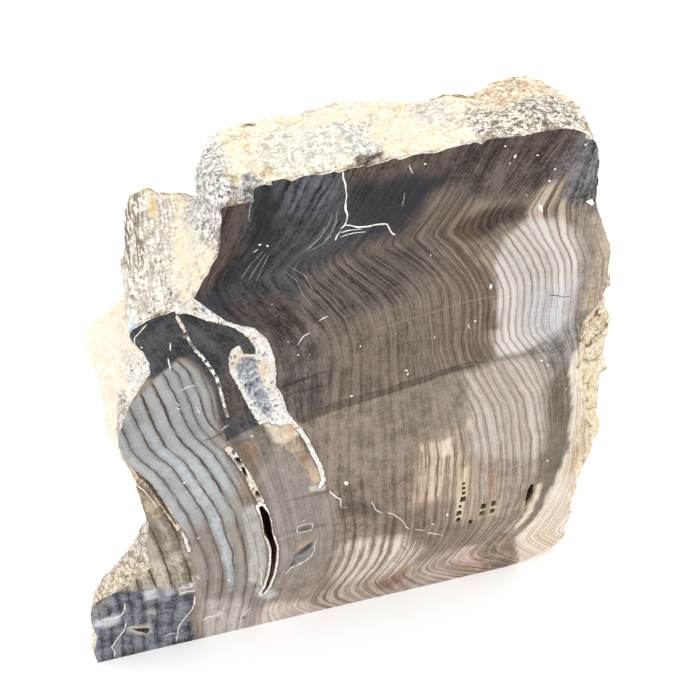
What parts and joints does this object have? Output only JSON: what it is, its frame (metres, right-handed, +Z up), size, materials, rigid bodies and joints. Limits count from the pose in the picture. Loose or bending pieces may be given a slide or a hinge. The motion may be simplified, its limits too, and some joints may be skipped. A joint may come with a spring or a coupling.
{
  "type": "petrified wood stump",
  "caption": "Upright chunk of petrified wood with a polished ring-banded face, a flat sawn base and rough broken sides.",
  "frame": {"origin": "on the sawn base, under the centre of the stone's box", "axes": "+X across the polished face, +Y back through the stone's thickness, away from the polished face, +Z up"},
  "size_m": [0.1532, 0.0454, 0.1529],
  "materials": {
    "petrified_wood": "polished on the front face, matte and rough on the broken sides"
  },
  "bodies": {
    "root": {"petrified_wood": "petrified_wood"}
  },
  "joints": []
}
